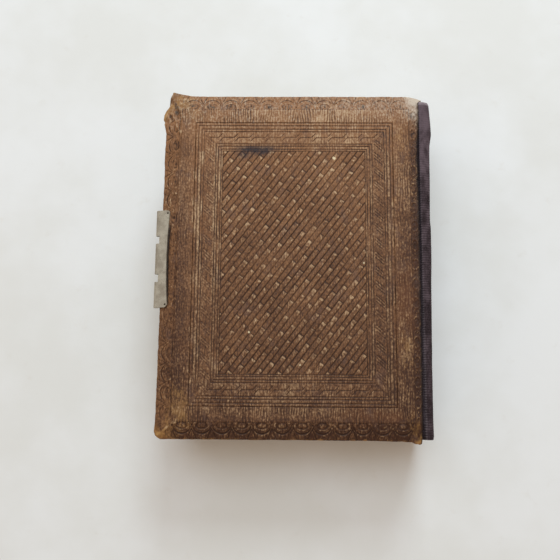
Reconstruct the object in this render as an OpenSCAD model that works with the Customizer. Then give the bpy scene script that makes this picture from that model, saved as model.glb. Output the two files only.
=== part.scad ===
// Small thick prayer book in embossed leather, closed and lying on its front cover.
// X runs from the fore-edge to the spine, Y from tail to head, Z from front cover to back cover.
// The origin is under the middle of the book, on the surface that it lies on.

/* [Covers] */
// Height of each cover, from tail to head
cover_h = 152; // [130:1:180]
// Width of each cover, from the fore-edge to the leather's edge at the spine
cover_w = 112.2; // [95:0.1:130]
// Thickness of the closed book
book_t = 46; // [40:0.5:50]
// Thickness of one cover with its leather and endpaper
cover_t = 4.6; // [4.2:0.1:5.4]
// Thickness of the cover leather
leather_t = 0.8; // [0.6:0.1:1]
// Width of the bevel along head, tail and fore-edge
bevel_w = 7.5; // [6:0.5:10]
// Drop of the bevel at the cover's edge
bevel_drop = 2.2; // [1.2:0.1:2.4]
// Width of the leather turned in over the inside of the board
turn_in_w = 13; // [8:1:18]
// Thickness of the pared leather that is turned in
turn_in_t = 0.4; // [0.3:0.05:0.5]
// Thickness of the endpaper pasted to the board
paste_t = 0.2; // [0.15:0.05:0.25]
// Leather left uncovered by the pasted endpaper, along three edges
paste_margin = 4; // [3:0.5:6]

/* [Text block] */
// Distance that the covers reach past the leaves at head, tail and fore-edge
square = 3.5; // [2.5:0.5:5]
// Sewn sections in each half of the text block
half_sections = 10; // [6:1:12]
// Depth of the hollow fore-edge at mid-thickness
hollow = 3; // [1:0.5:4]
// Thickness of one loose-turning leaf
leaf_t = 0.2; // [0.15:0.05:0.2]

/* [Spine] */
// Distance from the cover hinges to the outermost line of the spine
spine_out = 5.2; // [5:0.1:7]
// Radius of the rounded spine
spine_r = 130; // [120:5:180]
// Radius of the spine's two shoulders
shoulder_r = 2.6; // [2.2:0.1:2.8]
// Thickness of the ribbed repair tape
tape_t = 0.4; // [0.3:0.05:0.5]
// Thickness of the cloth and glue that line the spine
lining_t = 0.6; // [0.4:0.05:0.8]
// Width of the tape tucked under the cover leather
flap_w = 9; // [6:0.5:12]
// Gap between the lifted edge of the leather and the hinge line
joint_gap = 1.1; // [0.9:0.1:1.4]

/* [Clasp metalwork] */
// Length of the hinge leaf and its knuckles
leaf_len = 43; // [36:0.5:50]
// Width of the hinge leaf at its ends, measured up the bevel
leaf_w = 3.9; // [3.4:0.1:4.6]
// Thickness of the metal
metal_t = 0.9; // [0.7:0.05:1]
// Outer radius of the knuckles
knuckle_r = 1.15; // [1.05:0.05:1.3]
// Radius of the bore for the clasp pin
bore_r = 0.5; // [0.4:0.05:0.6]
// Gap between two knuckles, where the clasp arm's knuckle turned
knuckle_gap = 3.5; // [3:0.1:4]
// Length of the catch plate on the front cover
catch_len = 18; // [14:0.5:24]

/* [Hidden] */
// Free space between pieces that move apart
clear = 0.1;
half_gap = clear / 2;
mid_z = book_t / 2;

// The clasp hinge leaf lies on the bevel, so its frame is tilted by the bevel's slope.
bevel_slope = bevel_drop / bevel_w;
bevel_angle = atan(bevel_slope);
knuckle_u = -1.7;
knuckle_n = metal_t - knuckle_r;
knuckle_out = knuckle_r - knuckle_u * cos(bevel_angle) + knuckle_n * sin(bevel_angle);

// Stations along X
book_w = knuckle_out + cover_w + joint_gap + spine_out;
x_fore = knuckle_out - book_w / 2;
x_edge = x_fore + cover_w;
x_hinge = x_edge + joint_gap;
x_spine = x_hinge + spine_out;
x_board = x_edge - 0.5;
x_gutter = x_edge + 0.1;
page_fore = x_fore + square;

// Levels of the back cover along Z; the front cover mirrors them
z_in = book_t - cover_t;
z_turn = z_in + paste_t;
z_board = z_turn + turn_in_t;
z_under = book_t - leather_t;
z_edge = book_t - bevel_drop;

// Heights above mid-thickness
spine_half = z_under - mid_z;
page_half = z_in - 2 * clear - leaf_t - mid_z;
leaf_pitch = leaf_t + clear;
core_half = 1.5 * leaf_pitch + half_gap;
page_h = cover_h - 2 * square;

// Spine profile
lining_in = tape_t + lining_t;
fold_in = lining_in + half_gap;
arc_x = x_spine - spine_r;
fillet_h = spine_half - shoulder_r;
fillet_x = arc_x + sqrt(pow(spine_r - shoulder_r, 2) - pow(fillet_h, 2));
arc_step = 1.6;
shoulder_steps = 8;
shoulder_x = x_hinge + 0.5;

// Repair tape runs a little short of the head
tape_low = -cover_h / 2 + 0.5;
tape_high = cover_h / 2 - 2.8;
flap_low = tape_low + 1;

// Sewing: three sunk cords, and kettle stitches near head and tail
cord_w = 1.3;
cord_depth = 1;
cord_ys = [-0.3 * cover_h, 0, 0.3 * cover_h];
kettle_y = 0.42 * cover_h;
kettle_w = 0.7;
thread_w = 0.4;
thread_depth = cord_depth + 0.35;
kettle_in = fold_in + thread_depth + thread_w;

// Head and tail bands
band_depth = 2.2;
band_t = 2;
band_half = 0.8 * spine_half;

// Hinge leaf and catch plate
clasp_y = 0.8;
pin_r = 0.45;
pin_len = 3.2;
leaf_waist = 1;
leaf_pin_y = leaf_len / 2 - 1.3;
leaf_pin_u = leaf_w - 1;
leaf_low_u = -0.8;
knuckle_len = (leaf_len - 2 * knuckle_gap - 2.2) / 3;
mid_knuckle_len = knuckle_len + 2.2;
catch_w = 3.4;
catch_low_u = -1;
catch_lip_r = 0.7;
catch_pin_y = catch_len / 2 - 2;
catch_pin_u = catch_w - 1.3;
far = 400;

section_names = [for (k = [1 : 2 * half_sections]) str("section_", k < 10 ? "0" : "", k)];
middle_names = [for (k = [1 : 3]) str("middle_leaf_", k)];

// Height at which the spine's large arc meets the shoulder's arc, i inside the outer face
function meet_h(i) = fillet_h * (spine_r - i) / (spine_r - shoulder_r);

// X of the spine's large arc at height h above mid-thickness
function spine_x(h, i) = arc_x + sqrt(pow(spine_r - i, 2) - h * h);

// Points along the spine's profile from height a to height b, with the shoulder's arc if b is on it
function profile(i, a, b) =
    let (rise = min(b, meet_h(i)) - a, steps = ceil(rise / arc_step))
    concat(
        [for (k = [0 : steps]) let (h = a + rise * k / steps) [spine_x(h, i), h]],
        b <= meet_h(i) ? [] : [
            for (k = [1 : shoulder_steps])
                let (r = shoulder_r - i,
                     a0 = asin(meet_h(0) / spine_r),
                     a1 = asin(min(1, (b - fillet_h) / r)),
                     t = a0 + (a1 - a0) * k / shoulder_steps)
                [fillet_x + r * cos(t), fillet_h + r * sin(t)]
        ]
    );

function reversed(list) = [for (k = [len(list) - 1 : -1 : 0]) list[k]];

// X of the hollow fore-edge at height h
function fore_x(h) = page_fore + hollow * (1 - pow(h / page_half, 2));

// Outline of a cover across the bevel: e is the edge, and i the depth below the outer face
function bevel_top(i) = [
    [i, z_edge + bevel_slope * i - i / cos(bevel_angle)],
    [(bevel_drop + i / cos(bevel_angle) - i) / bevel_slope, book_t - i]
];

// Extrudes an outline drawn in X and Z from tail y0 to head y1
module along_y(y0, y1) {
    translate([0, y1, 0]) rotate([90, 0, 0]) linear_extrude(y1 - y0) children();
}

// Turns the back cover's geometry into the front cover's
module as_front() {
    translate([0, 0, book_t]) mirror([0, 0, 1]) children();
}

// Places geometry drawn above mid-thickness in the rear or the front half of the block
module half(rear) {
    translate([0, 0, mid_z]) {
        if (rear) children();
        else mirror([0, 0, 1]) children();
    }
}

// Cover-shaped slab, i inside the outer face, down to level z_low, ending at x_end
module bevelled_slab(i, z_low, x_end) {
    top = bevel_top(i);
    half_h = cover_h / 2;
    intersection() {
        along_y(-far, far) polygon(concat(
            [[x_fore + i, z_low]],
            [for (p = top) [x_fore + p.x, p.y]],
            [[x_end, book_t - i], [x_end, z_low]]
        ));
        rotate([90, 0, 90]) linear_extrude(far, center = true) polygon(concat(
            [[i - half_h, z_low]],
            [for (p = top) [p.x - half_h, p.y]],
            [for (p = [top[1], top[0]]) [half_h - p.x, p.y]],
            [[half_h - i, z_low]]
        ));
    }
}

// Frame of the metalwork: x runs up the bevel, y along the fore-edge, z out of the leather
module on_bevel() {
    translate([x_fore, clasp_y, z_edge]) rotate([0, -bevel_angle, 0]) children();
}

module pin_pair(u, y) {
    on_bevel() for (side = [-1, 1])
        translate([u, side * y, metal_t - pin_len]) cylinder(h = pin_len, r = pin_r, $fn = 32);
}

module cover_leather(u, y) {
    difference() {
        bevelled_slab(0, z_turn, x_edge);
        bevelled_slab(leather_t, z_board, x_edge + 1);
        translate([x_fore + turn_in_w, turn_in_w - cover_h / 2, z_turn - 1])
            cube([cover_w, cover_h - 2 * turn_in_w, turn_in_t + 2]);
        pin_pair(u, y);
    }
}

module cover_board(u, y) {
    difference() {
        bevelled_slab(leather_t, z_board, x_board);
        tucked_tape(x_edge);
        pin_pair(u, y);
    }
}

// Endpaper: it fills the window between the turned-in leather and laps over it
module cover_pastedown() {
    half_h = cover_h / 2;
    translate([x_fore + paste_margin, paste_margin - half_h, z_in])
        cube([x_board - x_fore - paste_margin, cover_h - 2 * paste_margin, paste_t]);
    translate([x_fore + turn_in_w, turn_in_w - half_h, z_turn])
        cube([x_board - x_fore - turn_in_w, cover_h - 2 * turn_in_w, turn_in_t]);
}

// Edge of the repair tape that lies between board and leather, bent down over the bevels
module tucked_tape(x_end) {
    intersection() {
        difference() {
            bevelled_slab(leather_t, z_board, x_end);
            bevelled_slab(leather_t + tape_t, z_board - 1, x_end + 1);
        }
        translate([x_hinge - flap_w, flap_low, z_board])
            cube([2 * flap_w, tape_high - flap_low, cover_t]);
    }
}

// Metal leaf with a waisted inner edge, rounded at the head end and cut off at the tail end
module leaf_outline() {
    waist_r = (pow(leaf_len / 2, 2) + pow(leaf_waist, 2)) / (2 * leaf_waist);
    corner_r = 1.4;
    cut = 1.2;
    difference() {
        translate([leaf_low_u, -leaf_len / 2]) square([leaf_w - leaf_low_u, leaf_len]);
        translate([leaf_w - leaf_waist + waist_r, 0]) circle(r = waist_r, $fn = 360);
        difference() {
            translate([leaf_w - corner_r, leaf_len / 2 - corner_r]) square(corner_r + 1);
            translate([leaf_w - corner_r, leaf_len / 2 - corner_r]) circle(r = corner_r, $fn = 48);
        }
        translate([leaf_w, -leaf_len / 2]) rotate(45) square(cut * sqrt(2), center = true);
    }
}

module knuckle(y0, len) {
    translate([knuckle_u, y0 + len, knuckle_n]) rotate([90, 0, 0])
        cylinder(h = len, r = knuckle_r, $fn = 64);
    translate([knuckle_u, y0, 0]) cube([leaf_low_u - knuckle_u + 0.2, len, metal_t]);
}

module hinge_leaf() {
    color("#a5a093") difference() {
        on_bevel() difference() {
            union() {
                linear_extrude(metal_t) leaf_outline();
                knuckle(-leaf_len / 2, knuckle_len);
                knuckle(-mid_knuckle_len / 2, mid_knuckle_len);
                knuckle(leaf_len / 2 - knuckle_len, knuckle_len);
            }
            translate([knuckle_u, leaf_len, knuckle_n]) rotate([90, 0, 0])
                cylinder(h = 2 * leaf_len, r = bore_r, $fn = 48);
        }
        pin_pair(leaf_pin_u, leaf_pin_y);
    }
}

// Small plate with a rolled lip, which the clasp arm hooked over
module catch_plate() {
    color("#a5a093") as_front() difference() {
        on_bevel() {
            translate([catch_low_u, -catch_len / 2, 0])
                cube([catch_w - catch_low_u, catch_len, metal_t]);
            translate([catch_low_u, catch_len / 2, metal_t - catch_lip_r]) rotate([90, 0, 0])
                cylinder(h = catch_len, r = catch_lip_r, $fn = 48);
        }
        pin_pair(catch_pin_u, catch_pin_y);
    }
}

module front_leather() { color("#71573f") as_front() cover_leather(catch_pin_u, catch_pin_y); }
module front_board() { color("#9a8463") as_front() cover_board(catch_pin_u, catch_pin_y); }
module front_pastedown() { color("#e2d6b8") as_front() cover_pastedown(); }
module front_tape_flap() { color("#3f3238") as_front() tucked_tape(x_hinge - half_gap); }
module catch_pins() { color("#4a453c") as_front() pin_pair(catch_pin_u, catch_pin_y); }

module back_leather() { color("#71573f") cover_leather(leaf_pin_u, leaf_pin_y); }
module back_board() { color("#9a8463") cover_board(leaf_pin_u, leaf_pin_y); }
module back_pastedown() { color("#e2d6b8") cover_pastedown(); }
module back_tape_flap() { color("#3f3238") tucked_tape(x_hinge - half_gap); }
module hinge_leaf_pins() { color("#4a453c") pin_pair(leaf_pin_u, leaf_pin_y); }

// Flyleaf beside a cover, hinged at the gutter
module flyleaf() {
    translate([page_fore, -page_h / 2, z_in - clear - leaf_t])
        cube([x_board - 0.2 - page_fore, page_h, leaf_t]);
}

module front_flyleaf() { color("#e2d6b8") as_front() flyleaf(); }
module back_flyleaf() { color("#e2d6b8") flyleaf(); }

// One of the three leaves that turn between the two halves of the block
module middle_leaf(k) {
    x_fold = x_spine - fold_in - cord_depth - 0.5;
    color("#e9dfc4") translate([page_fore + hollow, -page_h / 2, mid_z + (k - 2) * leaf_pitch - leaf_t / 2])
        cube([x_fold - page_fore - hollow, page_h, leaf_t]);
}

// Level of the leaves, and height of the folds, at boundary j of the sections in one half
function leaf_level(j) = core_half + (page_half - core_half) * j / half_sections;
function fold_level(j) = core_half + (spine_half - fold_in - core_half) * j / half_sections;

// Section j of one half, counted outwards; the outermost one forms the shoulder
module section_outline(j) {
    outermost = j == half_sections;
    polygon(concat(
        [[fore_x(leaf_level(j - 1)), leaf_level(j - 1)], [x_gutter, leaf_level(j - 1)]],
        profile(fold_in, fold_level(j - 1), fold_level(j)),
        outermost ? [[shoulder_x, spine_half - fold_in]] : [],
        [[x_gutter, leaf_level(j)], [fore_x(leaf_level(j)), leaf_level(j)]]
    ));
}

// Strip that follows the spine between two depths, from height a up to height b
module spine_strip(i_out, i_in, a, b) {
    polygon(concat(profile(i_out, a, b), reversed(profile(i_in, a, b))));
}

// Thread along the middle of section j, from one kettle stitch to the other
module thread_run(j) {
    fold_h = (fold_level(j - 1) + fold_level(j)) / 2;
    gutter_h = (leaf_level(j - 1) + leaf_level(j)) / 2;
    fold_x = spine_x(fold_h, fold_in);
    share = thread_depth / (fold_x - x_gutter);
    translate([fold_x - thread_depth, kettle_y, fold_h + (gutter_h - fold_h) * share])
        rotate([90, 0, 0]) linear_extrude(2 * kettle_y) square(thread_w, center = true);
}

module section(k) {
    rear = k > half_sections;
    j = rear ? k - half_sections : half_sections + 1 - k;
    color("#dccfae") half(rear) difference() {
        along_y(-page_h / 2, page_h / 2) section_outline(j);
        for (y = cord_ys)
            along_y(y - cord_w / 2, y + cord_w / 2)
                spine_strip(0, fold_in + cord_depth, -1, band_half);
        for (y = [-kettle_y, kettle_y])
            along_y(y - kettle_w / 2, y + kettle_w / 2)
                spine_strip(0, kettle_in, -1, meet_h(kettle_in));
        thread_run(j);
    }
}

// Skin that wraps the spine between two depths, from mid-thickness over the shoulder to x_end
module spine_skin(i_out, i_in, x_end, y0, y1) {
    top_out = spine_half - i_out;
    top_in = spine_half - i_in;
    along_y(y0, y1) polygon(concat(
        profile(i_out, half_gap, top_out),
        [[x_end, top_out], [x_end, top_in]],
        reversed(profile(i_in, half_gap, top_in))
    ));
}

module spine_tape(rear) {
    color("#3f3238") half(rear) spine_skin(0, tape_t, x_hinge + half_gap, tape_low, tape_high);
}

module spine_lining(rear) {
    color("#b9a27c") half(rear)
        spine_skin(tape_t, lining_in, shoulder_x - 0.2, -page_h / 2, page_h / 2);
}

module sewing_cords(rear) {
    inner = fold_in + cord_depth - half_gap;
    color("#cbb88e") half(rear) for (y = cord_ys)
        along_y(y - cord_w / 2, y + cord_w / 2)
            spine_strip(fold_in, inner, core_half, band_half - clear);
}

module sewing_thread(rear) {
    color("#efe7d2") half(rear) for (j = [1 : half_sections]) thread_run(j);
}

module end_band(rear, side) {
    y0 = side > 0 ? page_h / 2 : -page_h / 2 - band_t;
    color("#8c4a3a") half(rear) along_y(y0, y0 + band_t)
        spine_strip(fold_in, fold_in + band_depth, half_gap, band_half);
}

front_leather();
front_board();
front_pastedown();
front_tape_flap();
catch_plate();
catch_pins();
front_flyleaf();
for (k = [1 : 2 * half_sections]) section(k);
for (k = [1 : 3]) middle_leaf(k);
spine_lining(false);  // spine_lining_front
spine_lining(true);  // spine_lining_rear
spine_tape(false);  // spine_tape_front
spine_tape(true);  // spine_tape_rear
sewing_cords(false);  // sewing_cords_front
sewing_cords(true);  // sewing_cords_rear
sewing_thread(false);  // sewing_thread_front
sewing_thread(true);  // sewing_thread_rear
end_band(false, 1);  // head_band_front
end_band(true, 1);  // head_band_rear
end_band(false, -1);  // tail_band_front
end_band(true, -1);  // tail_band_rear
back_flyleaf();
back_leather();
back_board();
back_pastedown();
back_tape_flap();
hinge_leaf();
hinge_leaf_pins();
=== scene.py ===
"""Looks of a small thick prayer book in embossed leather, closed and lying on its front cover.

All lengths in this script are millimetres in the CAD frame; they become metres where a mesh is made.
"""
import math
from contextlib import contextmanager

import bmesh
import bpy
import numpy as np
from mathutils import Euler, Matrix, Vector


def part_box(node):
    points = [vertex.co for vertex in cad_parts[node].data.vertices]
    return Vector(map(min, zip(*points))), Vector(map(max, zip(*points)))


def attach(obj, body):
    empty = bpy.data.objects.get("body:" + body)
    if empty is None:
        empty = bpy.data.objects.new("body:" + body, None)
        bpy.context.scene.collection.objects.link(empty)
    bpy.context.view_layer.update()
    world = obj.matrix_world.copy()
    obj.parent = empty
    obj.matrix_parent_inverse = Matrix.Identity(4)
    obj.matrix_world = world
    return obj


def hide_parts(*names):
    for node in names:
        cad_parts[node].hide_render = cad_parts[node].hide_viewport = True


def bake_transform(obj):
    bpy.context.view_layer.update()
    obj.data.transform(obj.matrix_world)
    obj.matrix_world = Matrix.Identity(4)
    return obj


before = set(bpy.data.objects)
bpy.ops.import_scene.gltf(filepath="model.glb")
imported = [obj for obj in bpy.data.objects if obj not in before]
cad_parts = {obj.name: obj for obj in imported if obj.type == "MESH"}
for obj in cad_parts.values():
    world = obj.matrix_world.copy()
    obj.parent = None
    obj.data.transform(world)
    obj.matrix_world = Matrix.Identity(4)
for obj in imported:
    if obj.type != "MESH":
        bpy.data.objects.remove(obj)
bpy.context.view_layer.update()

MM = 0.001


def box_mm(node):
    """Lowest and highest corner of a CAD node, in millimetres."""
    low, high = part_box(node)
    return np.array(low) / MM, np.array(high) / MM


# ---- Places taken from the frame
LEATHER_LOW, LEATHER_HIGH = box_mm("back_leather")
TAPE_LOW, TAPE_HIGH = box_mm("spine_tape_rear")
PAGE_LOW, PAGE_HIGH = box_mm("section_20")
X_FORE = LEATHER_LOW[0]
X_EDGE = LEATHER_HIGH[0]
HALF_H = LEATHER_HIGH[1]
BOOK_T = LEATHER_HIGH[2]
Z_TURN = LEATHER_LOW[2]
MID_X = (X_FORE + X_EDGE) / 2
MID_Z = BOOK_T / 2
X_SPINE = TAPE_HIGH[0]

# ---- Sizes that the CAD source gives
BEVEL_W = 7.5
BEVEL_DROP = 2.2
LEATHER_T = 0.8
TURN_IN_W = 13.0
SPINE_R = 130.0
SHOULDER_R = 2.6
X_HINGE = X_EDGE + 1.1
FORE_X = X_FORE + 3.5
X_GUTTER = X_EDGE + 0.1
PAGE_HALF = 18.0
CORE_HALF = 0.5
TAPE_T = 0.4

# ---- Layout of the embossing, measured from its own centre
EMBOSS_X = MID_X + 1.6
EMBOSS_Y = 0.17
FRAME_W = 43.8
FRAME_H = 62.5
LINE_W = 0.45
FRAME_LINES = (0.0, 1.4, 3.0, 4.2, 9.9, 11.0, 12.4, 13.3)
FRAME_DEPTH = 13.4
SIDE_SQUEEZE = 0.93
RIBBON_MID = 6.9
RIBBON_HALF = 1.85
RIBBON_PERIOD = 6.9
SIDE_PERIOD = 6.4
RIBBON_SLANT = 0.9
# Where the ribbon's twists are on each side: X at head and tail, Y at spine and fore-edge
TWIST_HEAD, TWIST_TAIL, TWIST_SPINE, TWIST_FORE = 2.0, -1.96, 33.1, 15.0
PANEL_W = FRAME_W - FRAME_DEPTH * SIDE_SQUEEZE
PANEL_H = FRAME_H - FRAME_DEPTH
BORDER_W = 51.2
BORDER_H = 69.0
SCALLOP = 8.4
SCALLOP_ARC = 4.7
OVAL_OUT = 1.35
BRICK_ANGLE = math.radians(52.73)
BRICK_ROW = 2.394
BRICK_LEN = 11.54
BRICK_SHIFT = 5.09
BRICK_ROW_START = 3.29
BRICK_JOINT_START = 4.86
GRAIN = 1.1
# Depths of the embossing in the panel, in the frame and outside them, and of the grain
PANEL_CUT, FRAME_CUT, BORDER_CUT, GRAIN_CUT = 0.38, 0.24, 0.32, 0.14


# ---- Small maths
def noise(x, y, seed=0):
    """Smooth value noise from -1 to 1, with one cell per unit of x and y."""
    cx, cy = np.floor(x).astype(np.int64), np.floor(y).astype(np.int64)
    fx, fy = x - cx, y - cy
    fx, fy = fx * fx * (3 - 2 * fx), fy * fy * (3 - 2 * fy)

    def corner(a, b):
        h = (a * 374761393 + b * 668265263 + seed * 974711) & 0x7FFFFFFF
        h = ((h ^ (h >> 13)) * 1274126177) & 0x7FFFFFFF
        h = ((h ^ (h >> 16)) * 40503) & 0x7FFFFFFF
        return ((h >> 7) & 0xFFFF) / 32767.5 - 1

    low = corner(cx, cy) * (1 - fx) + corner(cx + 1, cy) * fx
    high = corner(cx, cy + 1) * (1 - fx) + corner(cx + 1, cy + 1) * fx
    return low * (1 - fy) + high * fy


def rough(x, y, seed=0, octaves=3):
    """Several octaves of noise together, from about -1 to 1."""
    total = 0
    for k in range(octaves):
        total = total + noise(x * 2**k, y * 2**k, seed + 17 * k) / 2**k
    return total / 1.6


def step(value, start, end):
    """Smooth step from 0 at start to 1 at end."""
    t = np.clip((value - start) / (end - start), 0, 1)
    return t * t * (3 - 2 * t)


def dip(distance, width):
    """Groove of about that width: 1 at its middle and 0 outside."""
    return np.exp(-((distance / (0.5 * width)) ** 2))


def blob(x, y, at_x, at_y, size_x, size_y):
    """Soft spot: 1 at its middle and near 0 at its size."""
    return np.exp(-(((x - at_x) / size_x) ** 2) - ((y - at_y) / size_y) ** 2)


def blobs(x, y, table):
    """Soft spots together: each row has a strength, a place and a size."""
    return sum(strength * blob(x, y, *spot) for strength, *spot in table)


def table_at(pairs, place):
    """Value at a place, between pairs of place and value."""
    return np.interp(place, *zip(*pairs))


def wrap(value, period):
    """Distance to the nearest multiple of the period, with its sign."""
    return (value + period / 2) % period - period / 2


def spread(low, high, pitch, keys=()):
    """Stations from low to high, at most a pitch apart, with each key among them."""
    marks = sorted({low, high, *[k for k in keys if low < k < high]})
    parts = [np.linspace(a, b, max(1, math.ceil((b - a) / pitch)), endpoint=False)
             for a, b in zip(marks, marks[1:])]
    return np.concatenate([*parts, [high]])


def grid_points(xs, ys):
    """The x and the y of each point of a grid, with y running first."""
    return [m.ravel() for m in np.meshgrid(xs, ys, indexing="ij")]


def by_area(areas, panel, lines, bevel, band):
    """The value for each point's own area: the panel, the frame, the bevelled edge or a band."""
    return np.select(areas, [panel, lines, bevel], band)


# ---- Relief of the embossed leather: 0 on the plain surface, 1 at the bottom of a groove
def brick_cells(x, y):
    """Row coordinate, distance past the last joint, and a number for each brick."""
    along = x * math.cos(BRICK_ANGLE) + y * math.sin(BRICK_ANGLE)
    across = x * math.sin(BRICK_ANGLE) - y * math.cos(BRICK_ANGLE)
    row = np.round((across - BRICK_ROW_START) / BRICK_ROW)
    side = across - BRICK_ROW_START - row * BRICK_ROW
    run = along - BRICK_JOINT_START - row * BRICK_SHIFT
    past = run % BRICK_LEN
    return side, past, row * 31 + np.floor(run / BRICK_LEN) * 7


def brick_relief(x, y):
    """Bricks that climb between their joints, with a groove along each row."""
    side, past, number = brick_cells(x, y)
    edge = BRICK_ROW / 2 - np.abs(side)
    groove = 1 - step(edge, 0.02, 0.40)
    joint = 1 - step(np.minimum(past, BRICK_LEN - past), 0.05, 0.38)
    climb = 0.34 * (1 - past / BRICK_LEN) ** 0.8
    crown = 0.10 * (side / (BRICK_ROW / 2)) ** 2
    uneven = 0.10 * noise(number * 0.71, number * 0.37, 5) + 0.08 * noise(x * 1.3, y * 1.0, 6)
    return np.clip(np.maximum(groove, joint * 0.7) + (climb + crown + uneven) * (1 - groove), 0, 1.1)


def ribbon_place(x, y, flat):
    """Distances along the ribbon from its nearest twist, across it, and across its slanted strokes."""
    side_y = np.sign(y) * (FRAME_H - RIBBON_MID)
    side_x = np.sign(x) * (FRAME_W - RIBBON_MID * SIDE_SQUEEZE)
    period = np.where(flat, RIBBON_PERIOD, SIDE_PERIOD)
    along_end = x - np.where(y > 0, TWIST_HEAD, TWIST_TAIL)
    along_side = np.where(x > 0, TWIST_SPINE, TWIST_FORE) - y
    along = np.where(flat, along_end, along_side)
    across = np.where(flat, y - side_y, x - side_x)
    run = wrap(along, period)
    return run, across, run - RIBBON_SLANT * across


def ribbon_relief(x, y, flat):
    """Twisted ribbon in the frame: dashes along its middle and slanted strokes between them."""
    run, across, slant = ribbon_place(x, y, flat)
    inside = 1 - step(np.abs(across), RIBBON_HALF - 0.1, RIBBON_HALF + 0.15)
    dash_depth = np.where(flat, 1, np.where(x > 0, 0.3, 0.8))
    dash = dip(across, LINE_W) * step(np.abs(run), 0.8, 1.1) * dash_depth
    whole = np.where(flat, 0, 1)
    apart = np.where(flat, 1.0, 1.35)
    upper = dip(slant + apart, 0.55) * np.maximum(whole, step(across, -0.2, 0.05))
    lower = dip(slant - apart, 0.55) * np.maximum(whole, step(-across, -0.2, 0.05))
    middle = np.where(flat, 0.45 * dip(slant, 0.35), 0.9 * dip(slant, 0.5))
    clear = np.where(flat | (x > 0), 1.0, 0.75)
    return clear * inside * np.maximum(np.maximum(dash, upper), np.maximum(lower, middle))


def frame_relief(x, y):
    """Straight lines and the twisted ribbon round the panel, with mitred corners."""
    from_side = (FRAME_W - np.abs(x)) / SIDE_SQUEEZE
    from_end = FRAME_H - np.abs(y)
    inset = np.minimum(from_side, from_end)
    lines = np.maximum.reduce([dip(inset - line, LINE_W) for line in FRAME_LINES])
    mitre = dip(from_side - from_end, 0.5) * step(inset, 4.6, 5.2) * (1 - step(inset, 8.8, 9.4))
    pressed = 0.86 + 0.16 * noise(x * 0.16, y * 0.16, 23)
    return pressed * np.maximum(np.maximum(lines, ribbon_relief(x, y, from_end < from_side)), 0.6 * mitre)


def scallop_relief(x, y):
    """Row of scallops between the border line and the edge of the cover."""
    past_side = np.abs(x) - BORDER_W
    past_end = np.abs(y) - BORDER_H
    out = np.maximum(past_side, past_end)
    on_end = past_end > past_side

    def by_side(head, tail, spine, fore):
        return np.where(on_end, np.where(y > 0, head, tail), np.where(x > 0, spine, fore))

    shift = by_side(5.2, 4.0, 6.9, 1.7)
    place = wrap(np.where(on_end, x, y) - shift, SCALLOP)
    half = place / (SCALLOP / 2)
    arc = SCALLOP_ARC * np.sqrt(np.clip(1 - half**2, 0, 1))
    mottle = noise(x * 1.3, y * 1.3, 22)
    arcs = np.maximum(dip(out - arc, np.where(y < -BORDER_H, 0.95, 0.65)), 0.6 * dip(out - arc + 1.1, 0.5))
    arcs = np.maximum(arcs, 0.45 * dip(out - arc + 2.1, 0.5))
    small = ~on_end & (x > 0)
    oval = np.hypot(place / np.where(small, 1.6, 2.1), (out - OVAL_OUT) / np.where(small, 0.9, 1.25))
    hollow = by_side(0.6, -0.35, 0.5, 0.4)
    eye = 0.7 * dip(oval - 1, 0.5) + (hollow + 0.45 * mottle) * (1 - step(oval, 0.3, 1.0))
    cusp = SCALLOP / 2 - np.abs(place)
    leaf = 0.85 * dip(cusp - 0.45 * (out - 2.6), 0.55) * step(out, 2.4, 2.9)
    corner = 1 - step(np.minimum(past_side, past_end), -1.5, 0.5)
    rim = dip(out - arc - 0.62, 0.5) + 0.7 * dip(out - arc + 0.55, 0.4) + dip(oval - 1.5, 0.4) * (out < arc)
    carved = np.where(y < -BORDER_H, 1.2, 0.9) + 0.35 * mottle
    shapes = np.where(eye < 0, eye + arcs, np.maximum(np.maximum(arcs, eye), leaf)) * carved
    shapes = shapes - by_side(0.3, 0.65, 0.75, 0.35) * np.clip(rim, 0, 1)
    return 0.45 * dip(out, 0.4) + step(out, 0.0, 0.3) * corner * shapes


def grain_relief(x, y):
    """Straight grain that runs from tail to head: 0 on a ridge and 1 between ridges."""
    wander = 0.5 * noise(x * 0.30, y * 0.13, 11) + 0.22 * noise(x * 0.8, y * 0.4, 12)
    ridge = 0.5 - 0.5 * np.cos(2 * np.pi * (x / GRAIN + wander))
    return ridge * (0.6 + 0.4 * noise(x * 0.3, y * 0.22, 13))


def rubbing(x, y, areas):
    """How hard each part of the cover has been rubbed, from 0 to 1."""
    head_band = 0.38 + 0.20 * step(x, -40, -10)
    tail_band = 0.48 - 0.30 * step(-y, 64, 68.5)
    spine_band = 0.32 + 0.12 * step(y, 20, 45) + 0.14 * (1 - step(y, -45, -20))
    side_band = np.where(x > 0, spine_band, 0.26 + 0.12 * step(y, 30, 60))
    band = np.where(np.abs(y) > FRAME_H, np.where(y > 0, head_band, tail_band), side_band)
    lines = np.where(np.abs(y) > PANEL_H, 0.48, np.where(x > 0, 0.6, 0.8))
    bevel = 0.6 - 0.05 * step(-y, 50, 70) + 0.3 * step(y, 55, 68)
    return by_area(areas, 0.9, lines, bevel, band)


# Light streaks of three lengths: cells per millimetre of X and of Y, and the noise's seed
STREAKS = ((0.95, 0.30, 14), (2.1, 0.35, 19), (0.8, 0.13, 18))


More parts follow.
